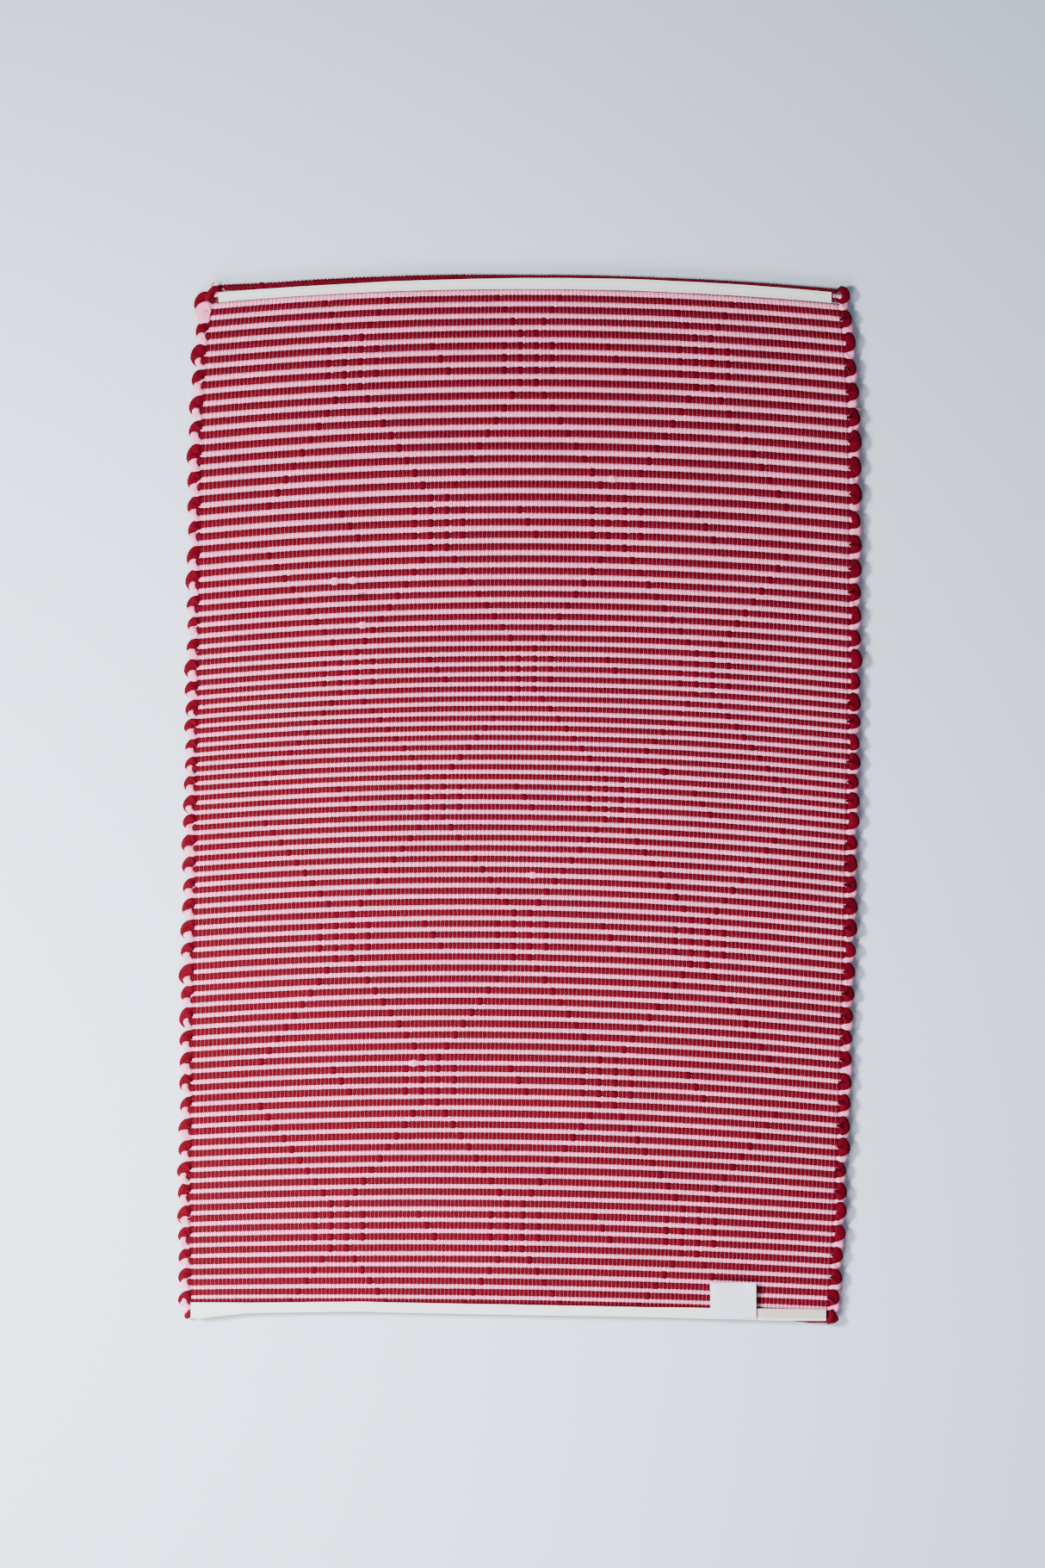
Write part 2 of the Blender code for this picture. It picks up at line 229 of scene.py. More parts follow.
class Weave:
    """Place, width and height of every row at every station, and where the warp passes over."""

    def __init__(self):
        rows = np.arange(ROWS)[:, None]
        left, right = row_ends(rows)
        along = np.linspace(0, 1, STATIONS)[None, :]
        self.x = left + (right - left) * along
        self.x = self.x + rng.normal(0, ACROSS_CHANGE, self.x.shape)
        pitch = row_y(rows - 0.5, self.x) - row_y(rows + 0.5, self.x)
        wobble = np.array([soft_noise(STATIONS, WOBBLE_WAVES, rng) for _ in range(ROWS)]) * WOBBLE
        self.y = row_y(rows, self.x) + wobble + rng.normal(0, ALONG_CHANGE, self.x.shape)
        red = (rows % 2 == 0) & np.ones_like(self.x, bool)
        first_set = (np.arange(STATIONS) % 2 == 0)[None, :] & np.ones_like(self.x, bool)
        pinched = red == first_set
        size = 1 + rng.normal(0, SIZE_CHANGE, self.x.shape)
        fuller = FULLER * np.clip((rows / ROWS - FULLER_START) / FULLER_LENGTH, 0, 1)
        self.half_width = pitch / 2 * np.where(red, RED_WIDTH + fuller, PINK_WIDTH - fuller) * size
        self.half_width *= np.where(pinched & red, PINCHED_RED_WIDTH, 1.0)
        self.half_width = np.minimum(self.half_width, MOST_HALF_WIDTH)
        self.half_width[2] *= SECOND_RED_WIDTH
        self.half_width[3] *= SECOND_PINK_WIDTH
        rope = np.interp(self.x[0], *ROPE_WIDTHS) * size[0]
        self.half_width[0] = rope * np.where(pinched[0], ROPE_PINCH, ROPE_BELLY)
        self.half_height = WEFT_HALF_HEIGHT * np.where(pinched, PINCHED_HEIGHT, 1.0)
        self.half_height = self.half_height * np.where(red, 1.0, PINK_HEIGHT)
        self.z = WEFT_MIDDLE + np.where(pinched, -PINCHED_DROP, BELLY_LIFT) + np.where(red, *COLOUR_LIFT)
        self.z[0] += ROPE_LIFT
        self.y[2] += SECOND_RED_SHIFT
        self.y[0] += ROPE_RISE * np.clip((ROPE_RISE_END - self.x[0]) / ROPE_RISE_LENGTH, 0, 1)
        self.z += rng.normal(0, LIFT_CHANGE, red.shape)
        self.over = pinched.copy()
        self.bind = np.where(pinched, rng.uniform(*PINCHED_BIND, red.shape), BELLY_BIND)
        self.bind[0] = ROPE_BIND
        shows = np.clip((self.x[-1] - LAST_ROW_SHOWS) / LAST_ROW_FADE, 0, 1)
        self.half_width[-1] *= 1 - LAST_ROW_THINNER * shows
        edge = tape_lower(self.x[-1], LOWER_TAPE_OUTER) + self.half_width[-1]
        hidden = np.maximum(self.y[-1], edge + LAST_ROW_GAP)
        self.y[-1] = hidden * (1 - shows) + (edge - LAST_ROW_PEEP) * shows
        for station, drop in PINK_DROPS:
            self.z[1::2, station] -= drop
        self.loops = sorted(loop_cells())
        for row, cell in self.loops:
            self.pull_loop(2 * row, 2 * cell + 2)
        for row, place, width in LUMPS:
            self.add_lump(row, place, width)

    def pull_loop(self, row, middle):
        """The yarn stands up and out over two cells, and the warp thread goes under it."""
        self.over[row, middle] = False
        self.bind[row, middle], self.bind[row, middle + 2] = LOOP_BIND, CREASE_BIND
        fat = rng.uniform(*LOOP_FAT)
        for offset, width, lift in LOOP_SHAPE:
            self.half_width[row, middle + offset] *= 1 + width * fat
            self.z[row, middle + offset] += lift * fat
        self.half_height[row, middle] = WEFT_HALF_HEIGHT
        crease = rng.uniform(*LOOP_CREASE)
        self.half_width[row, middle + 2] *= crease
        self.z[row, middle + 2] -= CREASE_DROP
        for beside in (row - 1, row + 1):
            self.half_width[beside, middle + 2] *= 1 + (1 - crease) * CREASE_FILL

    def add_lump(self, row, place, width):
        """A slub: the yarn is thick for a few stations, and the warp lies beside it."""
        middle = int(np.argmin(np.abs(self.x[row] - place)))
        for offset, share in LUMP_SHAPE:
            station = middle + offset
            self.half_width[row, station] += (width - self.half_width[row, station]) * share
            self.z[row, station] += LUMP_LIFT * share
            self.over[row, station] = False
            self.bind[row, station] = 0.0


weave = Weave()


# Materials

class Wire:
    """A socket on its way through a material, with the sums that can be done on it."""

    def __init__(self, finish, socket):
        self.finish, self.socket = finish, socket

    def sum(self, operation, a, b):
        return self.finish.node("ShaderNodeMath", {"operation": operation}, {0: a, 1: b})

    def __add__(self, other):
        return self.sum("ADD", self, other)

    def __radd__(self, other):
        return self.sum("ADD", other, self)

    def __sub__(self, other):
        return self.sum("SUBTRACT", self, other)

    def __rsub__(self, other):
        return self.sum("SUBTRACT", other, self)

    def __mul__(self, other):
        return self.sum("MULTIPLY", self, other)

    def __rmul__(self, other):
        return self.sum("MULTIPLY", other, self)


class Finish:
    """A material under construction."""

    def __init__(self, name, roughness, sheen):
        self.material = bpy.data.materials.new(name)
        self.material.use_nodes = True
        self.nodes = self.material.node_tree.nodes
        self.shader = self.nodes["Principled BSDF"]
        self.shader.inputs["Roughness"].default_value = roughness
        self.shader.inputs["Sheen Weight"].default_value = sheen
        self.shader.inputs["Sheen Roughness"].default_value = 0.5
        self.shader.inputs["Specular IOR Level"].default_value = 0.08

    def node(self, kind, settings=None, values=None, output=0):
        node = self.nodes.new(kind)
        for name, value in (settings or {}).items():
            setattr(node, name, value)
        for name, value in (values or {}).items():
            if isinstance(value, Wire):
                self.material.node_tree.links.new(value.socket, node.inputs[name])
            else:
                node.inputs[name].default_value = value
        return Wire(self, node.outputs[output])

    def feed(self, name, wire):
        self.material.node_tree.links.new(wire.socket, self.shader.inputs[name])

    def place(self, scale=(1, 1, 1), turn=(0, 0, 0)):
        coordinates = self.node("ShaderNodeTexCoord", output="Object")
        return self.node(
            "ShaderNodeMapping", {"vector_type": "POINT"},
            {"Vector": coordinates, "Scale": scale, "Rotation": turn},
        )

    def axis(self, wire, number):
        """One number of a place: 0, 1 or 2 for x, y or z."""
        return self.node("ShaderNodeSeparateXYZ", {}, {0: wire}, number)

    def map_place(self):
        return self.node("ShaderNodeUVMap", {"uv_map": "OFBake"})

    def noise(self, where, scale, detail=2.0, roughness=0.5):
        return self.node(
            "ShaderNodeTexNoise", {},
            {"Vector": where, "Scale": scale, "Detail": detail, "Roughness": roughness},
        )

    def spread(self, wire, low, high, to_low=0.0, to_high=1.0):
        return self.node(
            "ShaderNodeMapRange", {"clamp": True},
            {0: wire, 1: low, 2: high, 3: to_low, 4: to_high},
        )

    def blend(self, factor, first, second):
        first, second = (value if isinstance(value, Wire) else (*value, 1) for value in (first, second))
        return self.node("ShaderNodeMix", {"data_type": "RGBA"}, {0: factor, 6: first, 7: second}, 2)

    def bump(self, height, strength, distance):
        self.feed("Normal", self.node(
            "ShaderNodeBump", {}, {"Height": height, "Strength": strength, "Distance": distance}
        ))


def shade(colour, factor):
    return tuple(min(1.0, c * factor) for c in colour)


RED_FIBRE, LOOSE_RED_FIBRE, PINK_FIBRE = (0.20, 0.002, 0.016), (0.30, 0.008, 0.03), (0.92, 0.46, 0.64)
# Where in its cell a row's groove lies, its width in cells and how dark its painted shade is
RED_GROOVE, PINK_GROOVE = (0.0, 0.18, 1.15), (0.5, 0.12, 0.42)


def cotton(name, colour, fibre, grey, groove_at=None, groove_width=0.1, groove_shade=0.5):
    """Soft cotton yarn: patchy dye, matt lint and fine fibres along the yarn.

    Woven yarn is bound once a cell, groove_at cells along its map, and has painted shade in that groove and
    in the pleats of its turns.
    """
    finish = Finish(name, 0.95, 0.0)
    plain = finish.place()
    along = finish.place((0.45, 1.0, 1.0), (0, 0, 0.5))
    patches = finish.spread(finish.noise(plain, 16, 3), 0.3, 0.7)
    cells = finish.spread(finish.noise(plain, 380, 2), 0.3, 0.7)
    lint = finish.noise(along, 2600, 4, 0.65)
    base = finish.blend(cells, shade(colour, 0.78), shade(colour, 1.10))
    base = finish.blend(patches * 0.5, base, shade(colour, 1.18))
    base = finish.blend(finish.spread(lint, 0.50, 0.80, 0.0, grey), base, fibre)
    base = finish.blend(finish.spread(lint, 0.45, 0.25, 0.0, 0.45), base, shade(colour, 0.55))
    height = lint * 0.6 + cells * 0.4
    if groove_at is not None:
        along_row = finish.axis(finish.map_place(), 0) - ROW_MAP_START
        cell = along_row * (STATIONS / 2 / ROW_MAP_LENGTH) - groove_at
        beside = finish.node("ShaderNodeMath", {"operation": "PINGPONG"}, {0: cell, 1: 0.5})
        bind = finish.node("ShaderNodeAttribute", {"attribute_name": "bind"}, output=2)
        groove = finish.spread(beside, groove_width, groove_width * 0.2) * bind
        turned = finish.spread(bind, 0.05, 0.0)
        pleats = finish.noise(finish.place((1.0, 0.4, 1.0), (0, 0, 0.9)), 430, 1)
        height = height + turned * pleats * 1.8
        # Painted shade in the low folds of the pleats on turns and slubs
        base = finish.blend(turned * finish.spread(pleats, 0.48, 0.36) * 0.35, base, shade(colour, 0.5))
        # Painted shade: the yarn's colour darkens in each groove, where the warp binds it
        shadow = finish.spread(groove * groove_shade, 0.0, 1.0)
        base = finish.blend(shadow, base, shade(colour, 0.16))
        height = height - groove * 1.6
    finish.feed("Base Color", base)
    finish.bump(height, 0.55, 0.0005)
    return finish.material


def thread_finish(name, colour):
    """Fine twisted thread."""
    finish = Finish(name, 0.85, 0.1)
    where = finish.place((1, 1, 1), (0.4, 0.3, 0.6))
    lint = finish.noise(where, 3000, 3, 0.6)
    finish.feed("Base Color", finish.blend(lint, shade(colour, 0.80), shade(colour, 1.12)))
    finish.bump(lint, 0.4, 0.0002)
    return finish.material


def tape_finish(name, colour):
    """Twill tape whose ribs turn back along its middle, as a row of chevrons."""
    finish = Finish(name, 0.9, 0.05)
    place = finish.map_place()
    along = finish.axis(place, 0) * TAPE_RIBS
    across = finish.axis(place, 1)
    fold = finish.node("ShaderNodeMath", {"operation": "PINGPONG"}, {0: across * 4.0, 1: 1.0})
    ribs = finish.node("ShaderNodeMath", {"operation": "SINE"}, {0: (along + fold * 1.6) * (2 * math.pi)})
    ribs = finish.spread(ribs, -1.0, 1.0)
    lint = finish.noise(finish.place(), 2400, 3, 0.6)
    base = finish.blend(ribs, shade(colour, 0.80), shade(colour, 1.05))
    base = finish.blend(finish.spread(lint, 0.35, 0.7), shade(colour, 0.86), base)
    where = finish.place()
    # Right of the label the lower tape turns darker and browner towards its inner edge
    right_of_label = finish.spread(finish.axis(where, 0), 0.180, 0.190)
    by_label = right_of_label * finish.spread(finish.axis(where, 1), 0.0, -0.1)
    towards_inner_edge = finish.spread(across, 0.10, 0.30)
    base = finish.blend(by_label * towards_inner_edge * 0.9, base, (0.50, 0.43, 0.38))
    finish.feed("Base Color", base)
    finish.bump(ribs * 0.7 + lint * 0.3, 0.5, 0.0003)
    return finish.material


def label_finish(name, colour):
    """Smooth, closely woven label cloth."""
    finish = Finish(name, 0.7, 0.1)
    where = finish.place()
    weft = finish.node(
        "ShaderNodeTexWave", {"bands_direction": "Y"},
        {"Vector": where, "Scale": 700.0, "Distortion": 1.0, "Detail": 1.0, "Detail Scale": 3.0},
    )
    patches = finish.noise(where, 90, 3)
    base = finish.blend(patches, shade(colour, 0.93), shade(colour, 1.04))
    base = finish.blend(weft * 0.35, base, shade(colour, 0.85))
    finish.feed("Base Color", base)
    finish.bump(weft * 0.5 + patches * 0.5, 0.35, 0.0003)
    return finish.material


def floor_finish(name, colour):
    """Pale matt floor."""
    finish = Finish(name, 0.85, 0.0)
    patches = finish.noise(finish.place(), 3.0, 2)
    finish.feed("Base Color", finish.blend(patches, shade(colour, 0.985), shade(colour, 1.015)))
    return finish.material


# Meshes

# Where a row's map starts and how much of the map's width it takes
ROW_MAP_START, ROW_MAP_LENGTH = 0.03, 0.94
RING = 8
ROUNDNESS = 0.80        # 1 is an ellipse, and less is nearer a box


def squared(value):
    return math.copysign(abs(value) ** ROUNDNESS, value)


PROFILE = [
    (squared(math.cos(t)), squared(math.sin(t)))
    for t in [2 * math.pi * (n + 0.5) / RING for n in range(RING)]
]


def mesh_piece(name, points, faces, material, uvs):
    """An object of this mesh, with its faces smooth. uvs holds a place for each face corner."""
    data = bpy.data.meshes.new(name)
    data.vertices.add(len(points))
    data.vertices.foreach_set("co", np.asarray(points, np.float32).ravel())
    quads = np.asarray(faces, np.int32)
    data.loops.add(quads.size)
    data.loops.foreach_set("vertex_index", quads.ravel())
    data.polygons.add(len(quads))
    data.polygons.foreach_set("loop_start", np.arange(0, quads.size, quads.shape[1], dtype=np.int32))
    data.polygons.foreach_set("loop_total", np.full(len(quads), quads.shape[1], np.int32))
    data.polygons.foreach_set("use_smooth", np.ones(len(quads), bool))
    layer = data.uv_layers.new(name="OFBake")
    layer.uv.foreach_set("vector", np.asarray(uvs, np.float32).ravel())
    data.update(calc_edges=True)
    data.validate()
    data.materials.append(material)
    piece = bpy.data.objects.new(name, data)
    bpy.context.scene.collection.objects.link(piece)
    return piece


def only(piece):
    bpy.ops.object.select_all(action="DESELECT")
    piece.select_set(True)
    bpy.context.view_layer.objects.active = piece


def face_outwards(piece, fill_ends=False):
    """Turn every face outwards, after closing open three-sided ends if asked."""
    only(piece)
    bpy.ops.object.mode_set(mode="EDIT")
    bpy.ops.mesh.select_all(action="SELECT")
    if fill_ends:
        bpy.ops.mesh.fill_holes(sides=3)
    bpy.ops.mesh.normals_make_consistent(inside=False)
    bpy.ops.object.mode_set(mode="OBJECT")


def apply_last_modifier(piece):
    bpy.ops.object.modifier_apply(modifier=piece.modifiers[-1].name)


def add_grid(name, columns, rows):
    bpy.ops.object.select_all(action="DESELECT")
    bpy.ops.mesh.primitive_grid_add(x_subdivisions=columns, y_subdivisions=rows, size=1, location=(0, 0, 0))
    piece = bpy.context.object
    piece.name = piece.data.name = name
    return piece


def thicken(piece, thickness):
    """Give a shaped grid its thickness, upwards."""
    only(piece)
    bpy.ops.object.modifier_add(type="SOLIDIFY")
    piece.modifiers[-1].thickness, piece.modifiers[-1].offset = thickness, 1
    apply_last_modifier(piece)
    face_outwards(piece)
    bpy.ops.object.shade_smooth_by_angle(angle=1.0)


def between_rings(count, sides, start=0):
    """Quads between count rings that follow one another, whose points are numbered from start."""
    n = start + np.arange(count - 1)[:, None] * sides
    s = np.arange(sides)[None, :]
    t = (s + 1) % sides
    return np.stack([n + s, n + t, n + sides + t, n + sides + s], axis=-1).reshape(-1, 4)


def end_cap(first, sides, order):
    """Quads that close the ring whose first point is this one, and their map places."""
    corners = [[0, k, k + 1, k + 2][::order] for k in range(1, sides - 2, 2)]
    places = [(0.001 * c, 0.001 * (c % 3)) for quad in corners for c in quad]
    return np.array(corners) + first, np.array(places)


def strand_map(count, sides, number, total):
    """Start and end of each quad of one strand on the map, along the strand and round it."""
    along = np.linspace(0.01, 0.99, count)
    s = np.arange(sides)[None, :]
    low = (number + 0.1 + 0.8 * s / sides) / total
    high = (number + 0.1 + 0.8 * (s + 1) / sides) / total
    return np.broadcast_arrays(along[:-1, None], along[1:, None], low, high)


def join_rings(rings, sides, strip):
    """Quads between rings that follow one another, caps of quads at the ends, and their map places.

    rings holds each ring's row of the length, which has its own band of the map, and strip holds
    each ring's place along that band.
    """
    count = len(rings)
    s = np.arange(sides)[None, :]
    bands = rings.max() + 1
    u = np.broadcast_to(strip[:-1, None], (count - 1, sides))
    u2 = np.broadcast_to(strip[1:, None], (count - 1, sides))
    u2 = np.where((rings[1:] != rings[:-1])[:, None], u + 1 / 700, u2)
    v = (rings[:-1, None] + 0.04 + 0.92 * s / sides) / bands
    v2 = (rings[:-1, None] + 0.04 + 0.92 * (s + 1) / sides) / bands
    sides_map = np.stack([u, v, u, v2, u2, v2, u2, v], axis=-1).reshape(-1, 2)
    parts = (
        (between_rings(count, sides), sides_map),
        end_cap(0, sides, -1), end_cap((count - 1) * sides, sides, 1),
    )
    return (np.concatenate(part) for part in zip(*parts))


# Outer reach of a turn by its angle from straight out, in degrees, in metres from its centre
TURN_ANGLES = (-90, -68, -45, -20, 0, 25, 45, 65, 90)
TURN_OUTLINES = {
    "red right": (0.0070, 0.0074, 0.0084, 0.0094, 0.0090, 0.0088, 0.0090, 0.0086, 0.0072),
    "pink right": (0.0076, 0.0092, 0.0096, 0.0088, 0.0082, 0.0078, 0.0074, 0.0070, 0.0060),
    "red left": (0.0062, 0.0084, 0.0106, 0.0112, 0.0104, 0.0094, 0.0088, 0.0080, 0.0070),
    "pink left": (0.0064, 0.0074, 0.0084, 0.0088, 0.0084, 0.0072, 0.0060, 0.0052, 0.0048),
}


class Yarn:
    """Rings of one length of yarn, in order along it."""

    def __init__(self):
        self.rings = []

    def ring(self, centre, side, width, height, band, along, bind=0.0):
        self.rings.append((centre, side, width, height, band, along, bind))

    def column(self, number):
        return np.array([ring[number] for ring in self.rings])

    def points(self):
        centre, side = self.column(0)[:, None, :], self.column(1)[:, None, :]
        profile = np.array(PROFILE)
        out = np.concatenate([side, np.zeros_like(side[..., :1])], axis=-1)
        width, height = self.column(2)[:, None, None], self.column(3)[:, None, None]
        up = np.array([0.0, 0.0, 1.0])
        across, rise = out * width * profile[None, :, :1], up * height * profile[None, :, 1:]
        return (centre + across + rise).reshape(-1, 3)


TURN_STEPS = 11
TURN_LIFT = 0.0011
LEFT_TURN_LIFT = 0.0010
# The two big turns at the first corner by row, as height, size and skew. Pink's lies over red's
CORNER_TURNS = {2: (0.85, 1.35, 0.0032), 3: (1.15, 1.5, 0.0006)}
CORNER_LIFT = 0.0014
PLAIN_REACH = 0.0044      # half the distance between two rows of a colour, for an average turn
TURN_CHANGE, TURN_SKEW, TURN_SPREAD = 0.06, 0.0007, 0.07
# Inner edge of a turn, outwards from the rows' ends: a choice for red on the right, a range for
# pink on the left, and one value for the others
RED_HOLLOWS = (-0.0024, -0.0022, -0.0020, -0.0016, 0.0008)
PINK_LEFT_HOLLOW, RED_LEFT_HOLLOW, PINK_HOLLOW = (0.0012, 0.0034), -0.0008, -0.0004
FIRST_HOLLOW, FIRST_SIZE = 0.0033, 1.1
TURN_FLATTER, TURN_FOLD, TURN_CREASE = 0.08, 0.10, 0.00025


def add_row(yarn, row, rightwards, band):
    order = range(STATIONS) if rightwards else range(STATIONS - 1, -1, -1)
    side = (0.0, 1.0) if rightwards else (0.0, -1.0)
    for i in order:
        yarn.ring(
            (weave.x[row, i], weave.y[row, i], weave.z[row, i]), side,
            weave.half_width[row, i], weave.half_height[row, i], band,
            ROW_MAP_START + ROW_MAP_LENGTH * i / STATIONS, weave.bind[row, i],
        )


def add_turn(yarn, row, on_left, is_red, band):
    """The yarn goes round the end of the row between, spread out, puffed up and folded."""
    sign = -1 if on_left else 1
    end = 0 if on_left else STATIONS - 1
    x = (weave.x[row, end] + weave.x[row + 2, end]) / 2
    y0, y2 = weave.y[row, end], weave.y[row + 2, end]
    middle, reach = (y0 + y2) / 2, (y0 - y2) / 2
    outline = TURN_OUTLINES[("red " if is_red else "pink ") + ("left" if on_left else "right")]
    lift = TURN_LIFT if is_red != on_left else -TURN_LIFT
    size = 1 + rng.normal(0, TURN_CHANGE)
    tall = (reach / PLAIN_REACH) ** 0.7 * (1 + rng.normal(0, TURN_CHANGE))
    skew = rng.normal(0, TURN_SKEW)
    spread = rng.uniform(0.0, TURN_SPREAD)
    if on_left:
        hollow = RED_LEFT_HOLLOW if is_red else rng.uniform(*PINK_LEFT_HOLLOW)
    else:
        hollow = rng.choice(RED_HOLLOWS) if is_red else PINK_HOLLOW
    folds, phase = rng.uniform(1.2, 2.4), rng.uniform(0, 6.28)
    if row == 0:
        hollow, size = FIRST_HOLLOW, FIRST_SIZE
    if row in CORNER_TURNS and on_left:
        taller, size, skew = CORNER_TURNS[row]
        tall, hollow = tall * taller, RED_LEFT_HOLLOW
    for n in range(1, TURN_STEPS + 1):
        angle = math.pi / 2 - math.pi * n / (TURN_STEPS + 1)
        out, up = math.cos(angle), math.sin(angle)
        outer = float(np.interp(math.degrees(angle), TURN_ANGLES, outline)) * size
        outer *= 1 + spread * math.sin(angle + phase)
        inner = hollow + 0.0016 * max(0.0, abs(up) - 0.6)
        puff = out**0.5
        crease = math.cos(folds * angle * 2 + phase) * puff
        if on_left:
            # Each colour lies over the other where it sets out and under it where it comes back
            above = np.clip((up + 0.62) / 0.35, 0, 1) if is_red else np.clip((0.72 - up) / 0.45, 0, 1)
            lift = LEFT_TURN_LIFT * (2 * float(above) - 1)
            if row in CORNER_TURNS:
                lift = CORNER_LIFT if row == 3 else -CORNER_LIFT
        distance = (inner + outer) / 2
        yarn.ring(
            (
                x + sign * out * distance,
                middle + skew * puff + up * distance * tall,
                WEFT_MIDDLE + lift * puff + crease * TURN_CREASE,
            ),
            (out, sign * up * tall), (outer - inner) / 2,
            WEFT_HALF_HEIGHT * (PINK_HEIGHT - TURN_FLATTER * puff + TURN_FOLD * crease),
            band, 0.01 if on_left else 0.98,
        )


def weft_length(name, first, last, is_red, material):
    """One length of weft yarn that runs to and fro."""
    yarn = Yarn()
    for number in range(first, last + 1):
        row = 2 * number + (0 if is_red else 1)
        rightwards = number % 2 == 0
        band = number - first
        add_row(yarn, row, rightwards, band)
        if row + 2 < ROWS:
            on_left = not rightwards
            add_turn(yarn, row, on_left, is_red, band)
            if number == last:
                end = 0 if on_left else STATIONS - 1
                yarn.ring(
                    (weave.x[row + 2, end], weave.y[row + 2, end], weave.z[row + 2, end]),
                    (0.0, -1.0) if rightwards else (0.0, 1.0), weave.half_width[row + 2, end] * 0.98,
                    weave.half_height[row + 2, end] * 0.98, band, 0.01 if on_left else 0.98,
                )
    quads, uvs = join_rings(yarn.column(4), RING, yarn.column(5))
    piece = mesh_piece(name, yarn.points(), quads, material, uvs)
    bind = piece.data.attributes.new("bind", "FLOAT", "POINT")
    bind.data.foreach_set("value", np.repeat(yarn.column(6).astype(np.float32), RING))
    return piece


def lay_across_fold(piece):
    FOLD_Y - FOLD_REACH
    FOLD_Y + FOLD_REACH
    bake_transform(piece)


def crosses_fold(piece):
    ys = [v.co.y for v in piece.data.vertices]
    return min(ys) < FOLD_Y + FOLD_REACH and max(ys) > FOLD_Y - FOLD_REACH


def carry(piece):
    """A piece that comes near the fold keeps its place with its transform applied, and any other goes with
    its half.
    """
    if crosses_fold(piece):
        lay_across_fold(piece)
    else:
        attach(piece, "upper_half" if piece.data.vertices[0].co.y > FOLD_Y else "lower_half")


WARP_RISE = 0.00028
ROPE_SLANT = 0.0007        # the warp crosses the first row aslant
ROPE_BITE = 0.0001         # and sinks into it


def warp_thread(station):
    """Rings of one warp thread: two over or under each row."""
    places = []
    for row in range(ROWS):
        over = weave.over[row, station]
        x, y, z = weave.x[row, station], weave.y[row, station], weave.z[row, station]
        width, height = weave.half_width[row, station], weave.half_height[row, station]
        level = z + height * (0.90 if over else -0.98) - (ROPE_BITE if row == 0 else 0)
        reach = width * (0.70 if over else 0.60)
        slant = ROPE_SLANT if row == 0 else 0
        places.append((x - slant, y + reach, level))
        places.append((x + slant, y - reach, level))
    return places


def warp_set(name, stations, material):
    """Warp threads side by side, each closed at its ends."""
    points, faces, uvs = [], [], []
    half_width = settings().warp_thickness / 2
    for number, station in enumerate(stations):
        places = np.array(warp_thread(station))
        places[:, 0] += rng.normal(0, 0.00006, len(places))
        left = places + [-half_width, 0, 0]
        right = places + [half_width, 0, 0]
        top = places + [0, 0, WARP_RISE]
        points.append(np.stack([left, right, top], axis=1).reshape(-1, 3))
        faces.append(between_rings(len(places), 3, number * 3 * len(places)))
        v, v2, u, u2 = strand_map(len(places), 3, number, len(stations))
        uvs.append(np.stack([u, v, u2, v, u2, v2, u, v2], axis=-1).reshape(-1, 2))
    piece = mesh_piece(name, np.concatenate(points), np.concatenate(faces), material, np.concatenate(uvs))
    face_outwards(piece, fill_ends=True)
    return piece


# Camera and light

CAMERA_PLACE = (0.0015, 0.0112, CAMERA_HEIGHT)
SENSOR = 36
FLOOR_SIZE = 6
# Name, place, width and power of each light, and where they all point
LIGHTS = (
    ("key light", (-1.35, 0.15, 1.35), 0.45, 36),
    ("fill light", (-0.8, -1.4, 1.25), 1.2, 22),
)
LIGHT_AIM, LIGHT_SPREAD = (-0.25, -0.35, 0), 1.7
SKY_COLOUR, SKY_STRENGTH = (0.86, 0.92, 1.0, 1), 0.34


def stage_camera():
    """A camera straight above, whose view of the floor is VIEW_LENGTH long."""
    bpy.ops.object.camera_add(location=CAMERA_PLACE, rotation=(0, 0, 0))
    camera = bpy.context.object
    camera.name = "camera"
    camera.data.sensor_fit = "VERTICAL"
    camera.data.sensor_height = SENSOR
    camera.data.lens = SENSOR * (CAMERA_HEIGHT - WEFT_MIDDLE) / VIEW_LENGTH
    bpy.context.scene.camera = camera


TAPE_RIBS = 340.0
TAPE_EDGE_WAVE, TAPE_RISE_WAVE = 0.0003, 0.00018
TAPE_REACH = {True: (0.0015, 0.0), False: (0.004, 0.0025)}   # beyond the CAD bars, left and right


def tape_edges(x, is_upper):
    """Outer and inner edge of a tape at x, as y."""
    if is_upper:
        return row_y(0, x) - float(np.interp(x, *ROPE_WIDTHS)) + 0.0003, row_y(2.4, x)
    return float(tape_lower(x, LOWER_TAPE_OUTER)), float(tape_lower(x, LOWER_TAPE_INNER))


def tape_strip(name, node, is_upper, material, body):
    """A strip of tape that follows its bowed row, with thickness and slightly wavy edges."""
    low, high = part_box(node)
    start, end = low.x - TAPE_REACH[is_upper][0], high.x + TAPE_REACH[is_upper][1]
    steps, lanes = 240, 6
    piece = add_grid(name, steps, lanes)
    generator = np.random.default_rng(5 if is_upper else 6)
    edge = soft_noise(steps + 1, 14, generator) * TAPE_EDGE_WAVE
    rise = soft_noise(steps + 1, 20, generator) * TAPE_RISE_WAVE
    for v in piece.data.vertices:
        share, depth = v.co.x + 0.5, v.co.y + 0.5
        n = round(share * steps)
        x = start + (end - start) * share
        outer, inner = tape_edges(x, is_upper)
        v.co = (x, outer + (inner - outer) * depth + edge[n], low.z + rise[n])
    thicken(piece, settings().tape_thickness)
    layer = piece.data.uv_layers.active
    layer.name = "OFBake"
    for polygon in piece.data.polygons:
        for loop in polygon.loop_indices:
            co = piece.data.vertices[piece.data.loops[loop].vertex_index].co
            outer, inner = tape_edges(co.x, is_upper)
            depth = (co.y - outer) / (inner - outer)
            share = (co.x - start) / (end - start)
            layer.uv[loop].vector = (share, min(max(depth, 0), 1) * 0.98 + 0.01)
    piece.data.materials.append(material)
    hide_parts(node)
    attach(piece, body)


